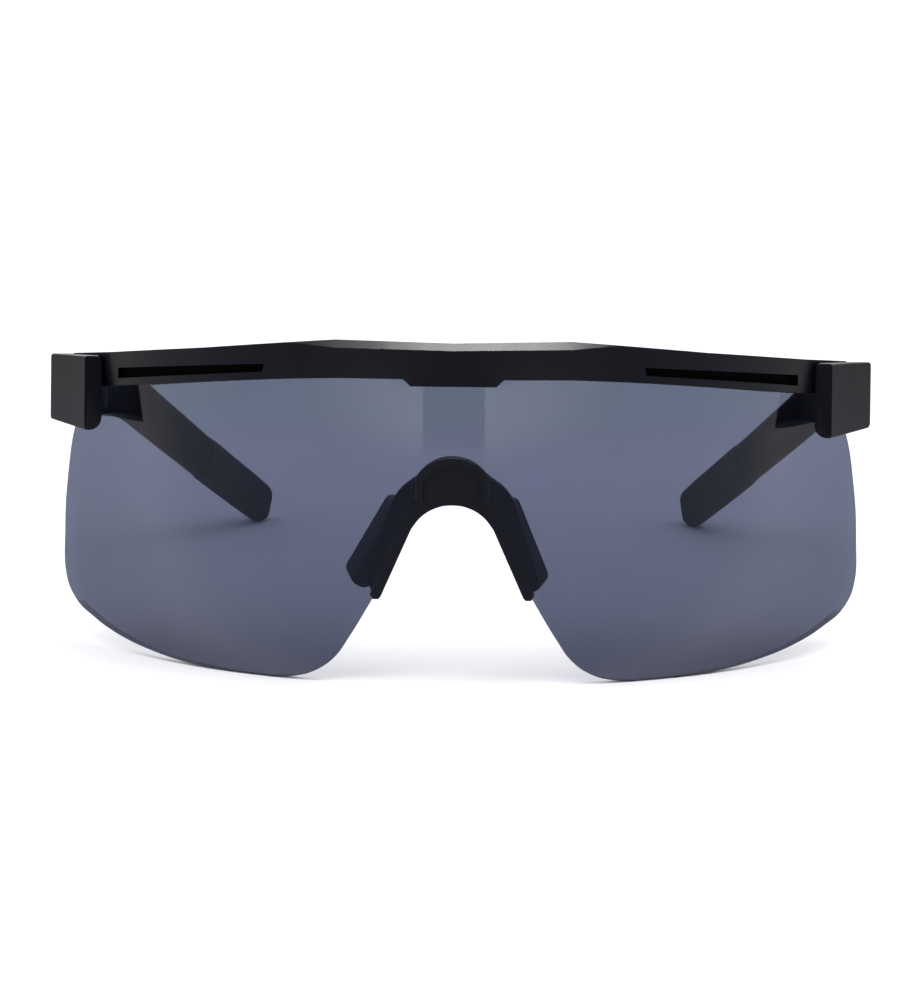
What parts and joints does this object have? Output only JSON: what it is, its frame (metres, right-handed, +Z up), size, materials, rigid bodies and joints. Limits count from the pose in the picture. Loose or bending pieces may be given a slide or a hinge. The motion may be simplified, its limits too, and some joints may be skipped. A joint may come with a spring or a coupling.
{
  "type": "wraparound sport sunglasses",
  "caption": "Wraparound sport sunglasses: a one-piece tinted shield lens under an angular brow bar, with a nose piece and folding temples.",
  "frame": {"origin": "bottom centre of the open glasses' box, on the surface that they stand on", "axes": "+X is the wearer's left, +Y runs back along the temples to the ears, +Z is up; the lens's front faces -Y"},
  "size_m": [0.1436, 0.1527, 0.0586],
  "materials": {
    "smoke_lens": "polished smoke-grey polycarbonate, see-through",
    "satin_black": "satin black injection-moulded nylon",
    "soft_black": "soft matte black elastomer",
    "tip_rubber": "matte black rubber",
    "dark_steel": "dark nickel-plated steel"
  },
  "bodies": {
    "front": {"lens": "smoke_lens", "brow_frame": "satin_black", "nose_bridge": "satin_black", "nose_pad_left": "soft_black", "nose_pad_right": "soft_black", "hinge_frame_leaf_left": "dark_steel", "hinge_frame_leaf_right": "dark_steel", "hinge_screw_left": "dark_steel", "hinge_screw_right": "dark_steel"},
    "temple_left_arm": {"temple_left": "satin_black", "temple_tip_left": "tip_rubber", "hinge_temple_leaf_left": "dark_steel"},
    "temple_right_arm": {"temple_right": "satin_black", "temple_tip_right": "tip_rubber", "hinge_temple_leaf_right": "dark_steel"}
  },
  "joints": [
    {"name": "temple_left_fold", "type": "hinge", "parent": "front", "child": "temple_left_arm", "pos_m": [0.0648, -0.03228, 0.044], "axis": [0, 0.1564, 0.9877], "range_deg": [0, 88]},
    {"name": "temple_right_fold", "type": "hinge", "parent": "front", "child": "temple_right_arm", "pos_m": [-0.0648, -0.03228, 0.044], "axis": [0, -0.1564, -0.9877], "range_deg": [0, 76]}
  ]
}
